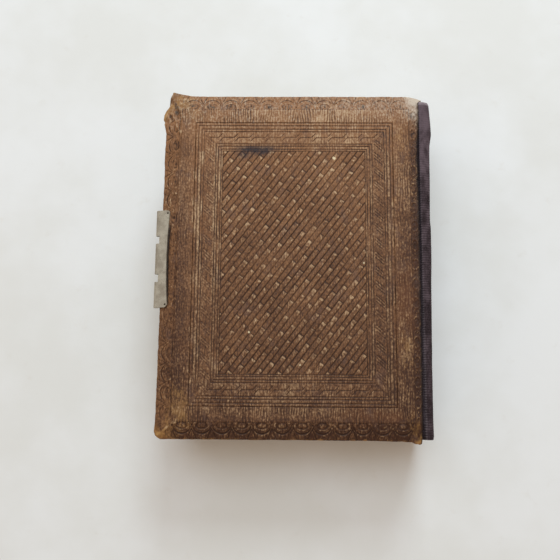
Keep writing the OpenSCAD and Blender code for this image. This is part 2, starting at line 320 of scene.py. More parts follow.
def rubbed(x, y, areas, cut, grain):
    """How much the leather is rubbed light: on crests of the grain, ridges and ends of bricks, with a
    painted highlight at the very end of each brick.
    """
    crest = step(1 - grain, 0.35, 0.95)
    streak, fine_streak, long_streak = [0.5 + 0.5 * noise(x * a, y * b, seed) for a, b, seed in STREAKS]
    fleck = step(noise(x * 2.0, y * 1.4, 15), -0.3, 0.7)
    patch = 0.5 + 0.5 * rough(x * 0.06, y * 0.06, 16)
    _, past, number = brick_cells(x, y)
    each = 0.5 + 0.5 * noise(number * 0.61, number * 0.23, 17)
    # Lighter towards each brick's upper end: rubbed wear, and a painted highlight on the narrow strip at
    # the very end, where the raised end faces the light from the head
    end = 0.4 * step(past, 5.5, 9.5) + 0.8 * step(past, 10.1, 10.6)
    brick = (0.06 + 0.94 * end) * (0.35 + 0.65 * each) * (0.45 + 0.55 * fleck) + 0.45 * fleck * fine_streak
    from_side = (FRAME_W - np.abs(x)) / SIDE_SQUEEZE
    ribbon = 0.55 * step(from_side, 4.2, 5.0) * (1 - step(from_side, 9.0, 9.8))
    along = (0.1 + 0.9 * step(long_streak, 0.2, 0.8)) * (0.25 + 0.75 * fine_streak) * (1 - ribbon)
    _, across, slant = ribbon_place(x, y, False)
    strokes = (dip(slant + 0.68, 0.6) + dip(slant - 0.68, 0.6)) * (np.abs(across) < RIBBON_HALF)
    strokes = strokes * np.where(x > 0, 1.0, 0.7)
    lit = np.maximum(dip(from_side - 2.2, 1.2), dip(from_side - 10.45, 0.9))
    along = np.maximum(along, np.maximum(strokes, 0.8 * lit) * (0.35 + 0.65 * streak))
    ridge = np.where(np.abs(y) > PANEL_H, (0.25 + 0.75 * crest) * (0.3 + 0.7 * streak), along)
    plain = crest * (0.5 + 0.5 * streak)
    edge = np.clip(-2.2 * cut, 0, 1) * (0.25 + 0.75 * streak) * (0.5 + 0.5 * fleck) + 0.5 * fleck * patch
    raised = by_area(areas, brick, ridge, edge, plain)
    hard = rubbing(x, y, areas) * (0.6 + 0.8 * patch)
    return np.clip(raised * hard * (1 - np.clip(2.0 * cut, 0, 1)), 0, 1)


def cover_relief(x, y):
    """Depth of the embossing in millimetres, its height from 0 to 1, and how much it is rubbed."""
    ex, ey = x - EMBOSS_X, y - EMBOSS_Y
    in_panel = (np.abs(ex) < PANEL_W) & (np.abs(ey) < PANEL_H)
    in_frame = (np.abs(ex) < FRAME_W + 0.6) & (np.abs(ey) < FRAME_H + 0.6) & ~in_panel
    areas = [in_panel, in_frame, (np.abs(ex) > BORDER_W) | (np.abs(ey) > BORDER_H)]
    outside = scallop_relief(ex, ey)
    cut = by_area(areas, brick_relief(ex, ey), frame_relief(ex, ey), outside, outside)
    depth = by_area(areas, PANEL_CUT, FRAME_CUT, BORDER_CUT, BORDER_CUT)
    fade = 0.82 + 0.18 * noise(x * 0.12, y * 0.12, 21)
    grain = grain_relief(ex, ey)
    share = by_area(areas, 0.3, 0.6, 0.3, np.where(np.abs(ey) < FRAME_H, 0.85, 1.0))
    drop = cut * depth * fade + grain * share * GRAIN_CUT * (1 - 0.6 * np.clip(cut, 0, 1))
    level = np.clip(1 - cut * fade - np.where(in_panel, 0.35, 0.78) * share * grain, 0, 1)
    return drop, level, rubbed(ex, ey, areas, cut, grain)


# ---- Worn outline of the covers: each pair is a place along the edge and how far the edge is moved
FORE_WEAR = ((-76, 0.9), (-75, 0.1), (-73, -0.5), (-70, -0.2), (-60, 0.0), (-30, 0.1), (0, 0.0),
             (30, 0.1), (50, 0.1), (58.3, 0.25), (60, -0.1), (62.8, -0.7), (63.4, -0.3), (64.7, -1.1),
             (66.8, -0.9), (69, 0.0), (71.1, 1.5), (73.6, 1.9), (76, 2.8))
HEAD_WEAR = ((-60, 2.2), (-57.9, 1.9), (-55.1, 2.0), (-51, 1.0), (-47, 0.25), (-40, 0.0), (50, 0.0),
             (51.5, -0.2), (53.2, -0.9), (54.3, -1.7))
TAIL_WEAR = ((-60, 0.7), (-57.9, 0.7), (-56, -0.1), (-40, 0.0), (30, 0.0), (45, -0.3), (49.5, -0.4),
             (51, -1.1), (53.2, -1.5), (54.3, -1.1))
SPINE_WEAR = ((-76, -0.6), (-71, -0.4), (-60, -0.4), (-48, -0.2), (-30, -0.2), (-12, 0.1), (5, 0.0),
              (22, 0.2), (36, 0.0), (41, 0.1), (50.5, 0.0), (55, 0.4), (58.5, 0.6), (63.6, 1.0),
              (69.7, 1.2), (72.6, 0.9), (74.2, 1.9), (75, 2.9), (76, 2.4))
WEAR_REACH = 5.0

# ---- Marks of age on the back cover, with painted light and shade among them
# Lightness of the leather from tail to head: partly its own wear, and partly painted light, a painted
# highlight towards the head and painted shade on the tail's bevel
TONE_DOWN = ((-76, -0.14), (-70, 0.03), (-66, 0.18), (-30, 0.32), (0, 0.4), (40, 0.58), (60, 0.8),
             (68, 1.0))
# Inner edge of the clasp's plate, as pairs of Y and X, and how deep it has pressed the leather
PLATE_PRESS = 0.35
PLATE_EDGE = ((-19, -54.8), (-14, -54.9), (-3, -55.2), (7, -55.2), (15, -54.6), (20, -54.3))
# Chips of the surface: place on the embossing and size
CHIPS = ((17.9, 46.0, 0.9), (-18.7, -31.4, 0.5), (30.4, -1.1, 0.5), (3.1, -45.1, 0.4))
# Golden and red patches: strength, place and size
GOLDEN = ((0.62, -48, -63, 6, 13), (0.4, -41, 66, 9, 4), (0.35, 47, 55, 4, 12), (0.3, 48, -40, 5, 12),
          (0.5, 51, -70, 4, 6), (0.3, X_FORE + 3, -73, 6, 6), (0.9, X_FORE + 5, HALF_H - 3, 8, 5))
RED = ((0.8, 48, -18, 5, 24), (0.7, 33, -66, 18, 3.5))
# Folds of the two worn corners: both ends of each, from the fore-edge and from the head
FOLDS = ((2.8, 2.8, 8.6, 2.0), (0.9, 6.0, 3.4, 3.9), (2.3, 7.8, 4.9, 12.6), (5.5, 5.2, 8.0, 11.4),
         (4.9, 14.6, 7.3, 18.0), (1.2, 9.6, 2.4, 12.0), (6.4, 3.9, 10.0, 5.4), (1.2, 150.6, 4.6, 147.6),
         (4.6, 147.6, 9.0, 144.8))


def folded(from_left, from_head):
    """Ridges of the folds, from 0 to 1."""
    wave = 0.5 * noise(from_left * 0.8, from_head * 0.8, 35)
    ridge = 0
    for left_a, head_a, left_b, head_b in FOLDS:
        run_x, run_y = left_b - left_a, head_b - head_a
        along = (from_left - left_a) * run_x + (from_head - head_a) * run_y
        share = np.clip(along / (run_x**2 + run_y**2), 0, 1)
        away = np.hypot(from_left - left_a - share * run_x, from_head - head_a - share * run_y)
        ridge = np.maximum(ridge, dip(away + wave, 1.1))
    return ridge


def plate_edge(x, y):
    """Crease along the inner edge of the clasp's plate, pressed into the leather and painted dark as the
    plate's shadow.
    """
    beside = x - table_at(PLATE_EDGE, y) - 0.35
    return dip(beside, 1.0) * step(y, -21, -17) * (1 - step(y, 13, 18))


def worn_outline(x, y, seed):
    """Moves points near the cover's edges, to make the outline uneven."""
    def moved(distance, wear, place, fray, pitch, row, turn):
        near = (1 - np.clip(distance / WEAR_REACH, 0, 1)) ** 2
        return near * (table_at(wear, place) + fray * rough(place * pitch, place * 0 + row, seed + turn))

    x_shift = moved(x - X_FORE, FORE_WEAR, y, 0.16, 0.45, 3, 1)
    y_shift = moved(HALF_H - y, HEAD_WEAR, x, 0.12, 0.4, 5, 3)
    return (x + x_shift + moved(X_EDGE - x, SPINE_WEAR, y, 0.22, 0.6, 9, 2),
            y + y_shift + moved(HALF_H + y, TAIL_WEAR, x, 0.12, 0.4, 7, 4))


def bevelled(x, y):
    """Distance from the cover's edge, and height of its outer face before it is embossed."""
    edge = np.minimum(x - X_FORE, HALF_H - np.abs(y))
    slope = np.clip(1 - edge / BEVEL_W, 0, 1)
    return edge, BOOK_T - BEVEL_DROP * slope ** (1 + 0.25 * slope)


def cover_surface(x, y, seed):
    """Height of the leather's outer face on the back cover, and the maps that colour it."""
    edge, base = bevelled(x, y)
    drop, relief, rub_and_highlight = cover_relief(x, y)
    from_left, from_head = x - X_FORE, HALF_H - y
    torn = blob(from_left, from_head, 0, 0, 6.0, 10.5) + 0.6 * blob(from_left, y, 0, -HALF_H, 5.5, 6.5)
    crease = rough(from_left / 1.7 + from_head / 6, from_head / 2.6 - from_left / 5, seed + 31)
    curl = folded(from_left, from_head)
    pocket = blob(from_left, from_head, 5.0, 9.0, 1.4, 3.2)
    wrinkle = np.clip(2.2 * torn, 0, 1)
    corners = np.exp(-((np.abs(x - MID_X) - 56) ** 2 + (np.abs(y) - 76) ** 2) / 30)
    lift = 0.2 * dip(X_EDGE - x, 2.2) * (0.6 + 0.4 * noise(y * 0.11, y * 0, 41))
    puff = 0.05 * rough(x * 0.09, y * 0.09, seed + 42)
    press = PLATE_PRESS * plate_edge(x, y) if seed == 0 else 0
    z = base - drop * (1 - wrinkle) + torn * 0.3 * crease + 0.45 * curl - 0.75 * pocket
    z = z + lift + puff - press + 0.10 * corners * crease
    fore_side = 0.22 * step(X_FORE + 14 - x, 0, 5) * step(x - X_FORE, 5, 8)
    spine_side = 0.1 * step(x, 30, 34) + 0.18 * step(x, 44, 48) + 0.33 * step(x, 50.5, 52)
    beside = np.maximum(fore_side, spine_side)
    # Lighter towards the head and darker on the tail's bevel: partly wear, partly painted light
    tone = table_at(TONE_DOWN, y) - beside * (1 - 0.6 * step(y, 45, 70))
    tone = tone + 0.3 * blob(x, y, X_FORE + 5, -HALF_H + 6, 9, 12)
    film = rough(x * 0.55, y * 0.3, seed + 36)
    pale = blob(x, y, X_EDGE + 0.8, HALF_H, 5.0, 10.0) * (0.8 + 0.3 * crease + 0.45 * film)
    pale = pale + 0.12 * blob(x, y, 36, HALF_H - 4, 19, 5.5)
    pale = 0.9 * pale + 0.36 * step(y, 46, 70)
    # Painted shade in the torn corner's pocket and in the hollows of its wrinkles
    shade = 0.85 - 0.65 * pocket - 0.8 * np.clip(-3 * crease - 0.2, 0, 1) * (1 - curl)
    bare = 1.3 * torn * (1 - pocket) + 0.8 * corners * (1 + 0.8 * film) + 0.3 * curl - 0.25
    maps = {
        "relief": np.clip(relief + (shade - relief) * wrinkle, 0, 1),
        "rub_and_highlight": np.clip(rub_and_highlight * (1 - wrinkle) + 0.36 * curl * (1 - pocket), 0, 1),
        "tone": tone,
        "red": np.clip(blobs(x, y, RED), 0, 1),
        "pale": np.clip(pale, 0, 1),
        "edge": np.clip(1 - np.minimum(edge, X_EDGE - x + 1.2) / 1.6, 0, 1),
        "torn": np.clip(bare, 0, 1),
        "golden": np.clip(blobs(x, y, GOLDEN) * (1 + 0.7 * film), 0, 1),
    }
    return z, maps


# ---- Meshes
def set_map(mesh, name, values):
    """Stores one value for each point of a mesh, for a material to read."""
    layer = mesh.attributes.new(name, "FLOAT", "POINT")
    layer.data.foreach_set("value", np.asarray(values, np.float32))


def make_piece(name, points, faces, material, maps=None, smooth=True):
    """Object from points in millimetres and faces, with its maps as point attributes."""
    mesh = bpy.data.meshes.new(name)
    mesh.from_pydata((np.asarray(points) * MM).tolist(), [], [list(map(int, f)) for f in faces])
    for key, values in (maps or {}).items():
        set_map(mesh, key, values)
    piece = bpy.data.objects.new(name, mesh)
    bpy.context.scene.collection.objects.link(piece)
    mesh.materials.append(material)
    mesh.polygons.foreach_set("use_smooth", [smooth] * len(mesh.polygons))
    return piece


@contextmanager
def edited(piece):
    """Opens a piece's mesh for changes, and turns its faces outwards afterwards."""
    body = bmesh.new()
    body.from_mesh(piece.data)
    yield body
    bmesh.ops.recalc_face_normals(body, faces=body.faces)
    body.to_mesh(piece.data)
    body.free()


def outward(piece):
    """Turns all faces of a closed piece outwards."""
    with edited(piece):
        return piece


def grid_cells(count_x, count_y, keep=None):
    """Quads of a grid whose point i, j has the number i * count_y + j, all or where keep is true."""
    i, j = np.nonzero(np.ones((count_x - 1, count_y - 1), bool) if keep is None else keep)
    first = i * count_y + j
    return np.stack([first, first + count_y, first + count_y + 1, first + 1], 1)


def tube_faces(rows, turns):
    """Quads between rings of points, where each ring has as many points as there are turns."""
    return [(i * turns + k, i * turns + (k + 1) % turns, (i + 1) * turns + (k + 1) % turns,
             (i + 1) * turns + k) for i in range(rows) for k in range(turns)]


def drop_unused(points, faces, maps):
    """Leaves out the points that no face uses."""
    used, places = np.unique(faces, return_inverse=True)
    return points[used], places.reshape(faces.shape), {k: v[used] for k, v in maps.items()}


def close_below(piece, z_flat):
    """Closes an open height field with flat walls down to a flat underside at z_flat."""
    with edited(piece) as body:
        rim = [e for e in body.edges if e.is_boundary]
        made = bmesh.ops.extrude_edge_only(body, edges=rim)["geom"]
        low_edges = [g for g in made if isinstance(g, bmesh.types.BMEdge) and g.is_boundary]
        for v in {v for e in low_edges for v in e.verts}:
            v.co.z = z_flat * MM
        for wall in [g for g in made if isinstance(g, bmesh.types.BMFace)]:
            wall.smooth = False
        bmesh.ops.triangle_fill(body, use_beauty=False, use_dissolve=False, edges=low_edges)


def turned_over(points):
    """Mirrors points of the back cover to the front cover."""
    return np.column_stack([points[:, 0], points[:, 1], BOOK_T - points[:, 2]])


# ---- Materials
class Shader:
    """One Principled material, with short calls that add nodes to it."""

    def __init__(self, name, roughness=0.5, **fixed):
        self.material = bpy.data.materials.new(name)
        self.material.use_nodes = True
        self.tree = self.material.node_tree
        self.surface = self.tree.nodes["Principled BSDF"]
        self.surface.inputs["Roughness"].default_value = roughness
        for key, value in fixed.items():
            self.surface.inputs[key.replace("_", " ")].default_value = value
        self.place = self.new("Mapping", self.new("TexCoord").outputs["Object"], (0, 0, 0), (0, 0, 0),
                              (1 / MM, 1 / MM, 1 / MM)).outputs[0]

    def new(self, kind, *values, **settings):
        node = self.tree.nodes.new("ShaderNode" + kind)
        for key, value in settings.items():
            setattr(node, key, value)
        for socket, value in zip(node.inputs, values):
            self.put(socket, value)
        return node

    def put(self, socket, value):
        if isinstance(value, bpy.types.NodeSocket):
            self.tree.links.new(value, socket)
        elif value is not None:
            socket.default_value = value

    def map(self, name):
        return self.new("Attribute", attribute_name=name).outputs["Fac"]

    def math(self, operation, *values):
        return self.new("Math", *values, operation=operation).outputs[0]

    def noise(self, pitch, detail=3.0, roughness=0.55, distortion=0.0, at=None):
        """Noise whose features are about pitch millimetres along X, Y and Z."""
        pitch = pitch if hasattr(pitch, "__len__") else (pitch,) * 3
        scaled = self.new("Mapping", at or self.place, (0, 0, 0), (0, 0, 0),
                          tuple(1 / p for p in pitch)).outputs[0]
        node = self.new("TexNoise")
        self.put(node.inputs["Vector"], scaled)
        for key, value in (("Scale", 1.0), ("Detail", detail), ("Roughness", roughness),
                           ("Distortion", distortion)):
            self.put(node.inputs[key], value)
        return node.outputs[0]

    def ramp(self, value, low, high, start=0.0, end=1.0):
        node = self.new("MapRange", value, low, high, start, end)
        node.interpolation_type = "SMOOTHSTEP"
        return node.outputs[0]

    def mix(self, share, a, b):
        node = self.new("Mix", data_type="RGBA")
        self.put(node.inputs[0], share)
        self.put(node.inputs[6], a)
        self.put(node.inputs[7], b)
        return node.outputs[2]

    def sum(self, *terms):
        """Sum of (factor, socket) pairs."""
        total = 0.0
        for factor, value in terms:
            total = self.math("MULTIPLY_ADD", value, factor, total)
        return total

    def finish(self, color, roughness=None, height=None, depth=0.05):
        self.put(self.surface.inputs["Base Color"], color)
        if roughness is not None:
            self.put(self.surface.inputs["Roughness"], roughness)
        if height is not None:
            bump = self.new("Bump")
            bump.inputs["Distance"].default_value = depth * MM
            bump.inputs["Strength"].default_value = 1.0
            self.put(bump.inputs["Height"], height)
            self.put(self.surface.inputs["Normal"], bump.outputs[0])
        return self.material


def rgb(r, g, b):
    """Linear colour from the usual 0 to 255 values."""
    def linear(c):
        c /= 255
        return c / 12.92 if c <= 0.04045 else ((c + 0.055) / 1.055) ** 2.4
    return (linear(r), linear(g), linear(b), 1.0)


def leather(name, plain=False):
    """Straight-grained brown leather: dark in the embossing, rubbed to beige on its ridges."""
    s = Shader(name, Specular_IOR_Level=0.25)
    fibre = s.noise((0.45, 2.2, 2.2), 3, 0.6, 0.25)
    pore = s.noise((0.28, 0.4, 0.4), 2)
    speck = s.noise((0.8, 1.1, 1.1), 2, 0.7)
    patch = s.noise((9, 14, 14), 3, 0.6)
    cloud = s.noise((5, 9, 9), 3, 0.6, 0.4)
    blotch = s.noise((4, 6, 6), 3, 0.6, 0.6)
    relief, rub_and_highlight, tone, red, golden = [s.map(key) for key in ("relief", "rub_and_highlight", "tone", "red", "golden")]
    if plain:
        relief, rub_and_highlight, tone, red, golden = 0.85, 0.3, 0.3, 0.0, 0.0
    light = s.sum((1.0, tone), (0.6, patch), (1.3, fibre), (1.6, speck))
    brown = s.mix(s.ramp(light, 1.40, 2.95), rgb(60, 34, 21), rgb(150, 105, 69))
    brown = s.mix(s.ramp(cloud, 0.54, 0.70, 0.0, 0.45), brown, rgb(98, 72, 61))
    warm = s.ramp(s.sum((-0.8, cloud), (0.6, red)), -0.42, 0.25, 0.0, 0.6)
    brown = s.mix(warm, brown, rgb(104, 62, 34))
    gold = s.ramp(s.sum((1.0, golden), (0.8, patch), (0.9, fibre), (0.8, speck)), 1.4, 2.2, 0.0, 0.75)
    brown = s.mix(gold, brown, rgb(150, 110, 62))
    # Dark in the embossing's grooves, and painted shade where the relief map carries it in the torn corner
    deep = s.mix(s.ramp(relief, 0.08, 0.8), rgb(50, 28, 15), brown)
    beige = s.mix(s.ramp(light, 1.5, 2.75), rgb(152, 117, 82), rgb(196, 166, 131))
    share = s.sum((1.6, rub_and_highlight), (1.1, fibre), (1.2, speck), (0.3, patch))
    # Rubbed to beige, and lighter where the brick ends carry a painted highlight
    worn = s.mix(s.ramp(share, 1.45, 2.55, 0.0, 0.9), deep, beige)
    tan = s.mix(s.ramp(blotch, 0.4, 0.65), rgb(118, 78, 42), rgb(178, 134, 80))
    bare = s.ramp(s.sum((0.7, s.map("edge")), (1.1, s.map("torn")), (1.3, blotch), (0.3, fibre)),
                  1.25, 1.9, 0.0, 0.85)
    color = s.mix(bare, worn, tan)
    if not plain:
        chalk = s.ramp(s.sum((1.0, s.map("pale")), (0.9, fibre), (0.9, speck)), 1.15, 1.95, 0.0, 0.85)
        color = s.mix(chalk, color, rgb(204, 190, 174))
        color = s.mix(s.map("stain"), color, rgb(33, 33, 42))
        # Painted shade: the clasp plate's shadow along its inner edge, and the gap at the leather's spine
        # edge
        color = s.mix(s.map("painted_shade"), color, rgb(16, 11, 9))
        color = s.mix(s.map("chip"), color, rgb(232, 214, 176))
    rough_map = s.ramp(s.sum((1.0, pore), (0.6, fibre), (0.5, blotch)), 0.8, 1.3, 0.46, 0.72)
    return s.finish(color, rough_map, s.sum((0.6, fibre), (0.5, pore)), 0.22)


def paper(name, light, dark, edge_lines=False):
    """Toned laid paper, or the cut edges of many leaves."""
    s = Shader(name, 0.85)
    fibre = s.noise((1.5, 0.7, 1.1), 4, 0.65)
    tone = s.noise(26, 3, 0.55)
    fox = s.noise(3.2, 2, 0.5)
    color = s.mix(s.ramp(tone, 0.35, 0.68), light, dark)
    color = s.mix(s.ramp(fibre, 0.35, 0.75, 0.0, 0.35), color, dark)
    color = s.mix(s.ramp(fox, 0.66, 0.76, 0.0, 0.5), color, rgb(150, 104, 62))
    height = fibre
    if edge_lines:
        leaves = s.noise((60, 60, 0.14), 2, 0.7)
        color = s.mix(s.ramp(leaves, 0.42, 0.62, 0.0, 0.55), color, rgb(126, 98, 66))
        height = s.sum((1.0, leaves), (0.3, fibre))
    return s.finish(color, s.ramp(tone, 0.3, 0.7, 0.78, 0.92), height, 0.08)


def ribbed_tape(name):
    """Dark ribbed cotton tape, faded along its crests and grey along its woven edge."""
    s = Shader(name, 0.9, Specular_IOR_Level=0.15)
    rest = s.new("Attribute", attribute_name="rest").outputs["Vector"]
    yarn = s.noise((0.5, 0.35, 0.5), 3, 0.6, at=rest)
    fade = s.noise((3.5, 7, 6), 3, 0.6, at=rest)
    lint = s.noise(0.5, 2, 0.6, at=rest)
    # Tone and relief carry painted shade beside the leather's edge
    light = s.sum((1.0, s.map("tone")), (2.2, fade))
    color = s.mix(s.ramp(light, 0.95, 2.05), rgb(42, 31, 34), rgb(101, 86, 92))
    color = s.mix(s.ramp(s.map("relief"), 0.0, 0.9, 0.6, 0.0), color, rgb(24, 16, 18))
    color = s.mix(s.ramp(yarn, 0.45, 0.75, 0.0, 0.35), color, rgb(112, 96, 102))
    frayed = s.math("MULTIPLY", s.map("edge"), s.ramp(lint, 0.25, 0.6))
    color = s.mix(frayed, color, rgb(160, 146, 150))
    return s.finish(color, s.ramp(fade, 0.3, 0.7, 0.82, 0.95), s.sum((1.0, yarn), (0.6, lint)), 0.07)


def aged_nickel(name):
    """Dull grey plate with a green cast, fine specks and scratches."""
    s = Shader(name, 0.45, Metallic=0.85)
    cloud = s.noise(4.5, 3, 0.6)
    speck = s.noise(0.28, 2, 0.6)
    scratch = s.noise((0.16, 5, 0.5), 2, 0.6, 0.3)
    color = s.mix(s.ramp(cloud, 0.35, 0.65), rgb(168, 160, 146), rgb(192, 185, 170))
    color = s.mix(s.ramp(speck, 0.56, 0.72, 0.0, 0.7), color, rgb(96, 92, 76))
    color = s.mix(s.ramp(cloud, 0.62, 0.8, 0.0, 0.5), color, rgb(122, 122, 100))
    rough_map = s.ramp(s.sum((1.0, speck), (0.7, scratch), (0.5, cloud)), 0.9, 1.4, 0.38, 0.66)
    return s.finish(color, rough_map, s.sum((1.0, speck), (0.8, scratch)), 0.03)


def plain_solid(name, light, dark, pitch, depth=0.06, roughness=0.8, metallic=0.0):
    """Fibrous or pitted matter with two tones, for the pieces that are mostly hidden."""
    s = Shader(name, roughness, Metallic=metallic)
    coarse = s.noise(tuple(4 * p for p in pitch), 3, 0.6)
    fine = s.noise(pitch, 3, 0.65, 0.2)
    color = s.mix(s.ramp(coarse, 0.35, 0.65), light, dark)
    color = s.mix(s.ramp(fine, 0.4, 0.7, 0.0, 0.5), color, dark)
    return s.finish(color, s.ramp(fine, 0.3, 0.7, roughness - 0.1, roughness + 0.08), fine, depth)


def woven_cloth(name, light, dark, pitch):
    """Open plain weave, for the lining of the spine."""
    s = Shader(name, 0.85)
    parts = s.new("SeparateXYZ", s.place).outputs
    warp = s.math("SINE", s.math("MULTIPLY", parts[1], 2 * math.pi / pitch))
    weft = s.math("SINE", s.math("MULTIPLY", parts[2], 2 * math.pi / pitch))
    weave = s.math("MULTIPLY", warp, weft)
    stain = s.noise(7, 3, 0.6)
    color = s.mix(s.ramp(weave, -0.8, 0.8), dark, light)
    color = s.mix(s.ramp(stain, 0.45, 0.7, 0.0, 0.7), color, rgb(120, 88, 50))
    return s.finish(color, s.ramp(stain, 0.3, 0.7, 0.75, 0.92), weave, 0.1)


def striped_band(name):
    """Silk thread wound in two colours round the core of an end band."""
    s = Shader(name, 0.6, Sheen_Weight=0.3)
    fine = s.noise((0.5, 0.5, 0.12), 2, 0.6)
    dirt = s.noise(2.5, 3, 0.6)
    color = s.mix(s.map("stripe"), rgb(126, 52, 44), rgb(196, 178, 132))
    color = s.mix(s.ramp(dirt, 0.42, 0.7, 0.0, 0.6), color, rgb(84, 62, 44))
    return s.finish(color, s.ramp(dirt, 0.3, 0.7, 0.5, 0.75), fine, 0.05)


def floor_plaster(name):
    """Pale painted surface with faint warm clouds."""
    s = Shader(name, 0.7)
    cloud = s.noise(90, 4, 0.6)
    fine = s.noise(9, 4, 0.6)
    color = s.mix(s.ramp(cloud, 0.35, 0.65), rgb(226, 225, 222), rgb(234, 234, 234))
    color = s.mix(s.ramp(fine, 0.6, 0.8, 0.0, 0.25), color, rgb(214, 208, 200))
    return s.finish(color, None, fine, 0.1)


# ---- The covers' leather
SEEDS = {"back": 0, "front": 100}
# Pitches of the grids over the back cover, and how much coarser the front cover's are
BRICK_PITCH = (0.36, 0.2)
FRAME_PITCH, BORDER_PITCH, TURN_IN_PITCH = 0.28, 0.25, 0.5
FRONT_COARSER = 1.7
# Distance from the middle of a pressed line to the stations on its two shoulders
LINE_SHOULDER = 0.28


def marks_and_painted_shade(x, y):
    """Ink stain at the head of the brick panel, painted shade in the crease beside the clasp's plate and in
    the gap along the leather's spine edge, and small chips.
    """
    ex, ey = x - EMBOSS_X, y - EMBOSS_Y
    mottle = rough(x * 0.7, y * 0.9, 51)
    blot = np.exp(-(np.abs((ex + 16.5) / 8.8) ** 3) - ((ey - 50.2) / 1.4) ** 2) * (0.85 + 0.5 * mottle)
    below = 0.9 * blob(ex, ey, -22.0, 47.6, 3.4, 1.7) + 0.8 * blob(ex, ey, -14.6, 48.3, 3.8, 1.2)
    chip = 0
    for at_x, at_y, size in CHIPS:
        ragged = np.hypot(ex - at_x, 1.2 * (ey - at_y)) / size + 0.35 * noise(x * 2.2, y * 2.2, 53)
        chip = np.maximum(chip, 1 - step(ragged, 0.6, 1.1))
    # Gap at the leather's spine edge, painted dark as shade
    gap = dip(X_EDGE - x, 1.3)
    return {
        "stain": np.clip(blot + below * (0.7 + 0.4 * mottle), 0, 0.8),
        "painted_shade": np.clip(0.95 * plate_edge(x, y) + 0.8 * gap * step(HALF_H - y, 2, 6), 0, 0.95),
        "chip": chip * 0.9,
    }


def leather_part(side, part, x, y, cells, material, floor_z):
    """Part of a cover's outer face over the points x, y, closed down to floor_z."""
    front, seed = side == "front", SEEDS[side]
    z, maps = cover_surface(x, y, seed)
    moved_x, moved_y = worn_outline(x, y, seed)
    if front:
        z = np.minimum(z, BOOK_T)
        marks = {key: np.zeros_like(x) for key in ("stain", "painted_shade", "chip")}
    else:
        marks = marks_and_painted_shade(x, y)
    points, cells, maps = drop_unused(np.column_stack([moved_x, moved_y, z]), cells, maps | marks)
    if front:
        points, floor_z = turned_over(points), BOOK_T - floor_z
    piece = make_piece(f"{side}_leather_{part}", points, cells, material, maps)
    close_below(piece, floor_z)
    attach(piece, side + "_cover")
    return piece


def brick_panel_grid(pitch_along, pitch_across):
    """Grid along the brick rows, cut to the panel."""
    reach = math.hypot(PANEL_W, PANEL_H) + 2
    along = np.arange(-reach, reach, pitch_along)
    across = np.arange(-reach, reach, pitch_across)
    a, c = grid_points(along, across)
    x = a * math.cos(BRICK_ANGLE) + c * math.sin(BRICK_ANGLE)
    y = a * math.sin(BRICK_ANGLE) - c * math.cos(BRICK_ANGLE)
    inside = ((np.abs(x) < PANEL_W) & (np.abs(y) < PANEL_H)).reshape(len(along), len(across))
    keep = inside[:-1, :-1] | inside[1:, :-1] | inside[:-1, 1:] | inside[1:, 1:]
    cells = grid_cells(len(along), len(across), keep)[:, ::-1]
    x = np.clip(x, -PANEL_W - 0.02, PANEL_W + 0.02)
    y = np.clip(y, -PANEL_H - 0.02, PANEL_H + 0.02)
    return x + EMBOSS_X, y + EMBOSS_Y, cells


def ring_grid(stations_x, stations_y, hole_w, hole_h):
    """Grid over the stations, without the cells inside the hole round the embossing's centre."""
    x, y = grid_points(stations_x, stations_y)
    mid_x = (stations_x[:-1] + stations_x[1:]) / 2 - EMBOSS_X
    mid_y = (stations_y[:-1] + stations_y[1:]) / 2 - EMBOSS_Y
    keep = (np.abs(mid_x)[:, None] > hole_w) | (np.abs(mid_y)[None, :] > hole_h)
    return x, y, grid_cells(len(stations_x), len(stations_y), keep)


def both_sides(values, middle):
    """Each value on both sides of the middle."""
    return [middle + side * v for v in values for side in (-1, 1)]


def frame_grid(pitch):
    """Grid over the frame, with stations on both shoulders of each line."""
    insets = [line + d for line in FRAME_LINES for d in (-LINE_SHOULDER, 0, LINE_SHOULDER)
              if 0 <= line + d < FRAME_DEPTH]
    keys_x = both_sides([FRAME_W - i * SIDE_SQUEEZE for i in insets] + [PANEL_W], EMBOSS_X)
    keys_y = both_sides([FRAME_H - i for i in insets] + [PANEL_H], EMBOSS_Y)
    xs = spread(EMBOSS_X - FRAME_W, EMBOSS_X + FRAME_W, pitch, keys_x)
    ys = spread(EMBOSS_Y - FRAME_H, EMBOSS_Y + FRAME_H, pitch, keys_y)
    return ring_grid(xs, ys, PANEL_W, PANEL_H)


def border_stations(pitch):
    """Stations over the whole cover, with the borders of its areas among them."""
    keys_x = both_sides([FRAME_W, BORDER_W], EMBOSS_X)
    keys_y = both_sides([FRAME_H, BORDER_H], EMBOSS_Y)
    return spread(X_FORE, X_EDGE, pitch, keys_x), spread(-HALF_H, HALF_H, 1.3 * pitch, keys_y)


# Section of the wrap: inset from the edge, share of the fall from the rim to the turn-in, and share of
# the wear
WRAP = ((0, 0, 1), (-0.12, 0.25, 1), (-0.12, 0.55, 0.9), (0.1, 0.82, 0.6), (0.6, 0.97, 0.3),
        (1.4, 1, 0.1), (TURN_IN_W - 0.6, 1, 0), (TURN_IN_W, 0.93, 0), (TURN_IN_W, 0.84, 0),
        (LEATHER_T, 0.84, 0.2), (LEATHER_T, 0.3, 0.8))


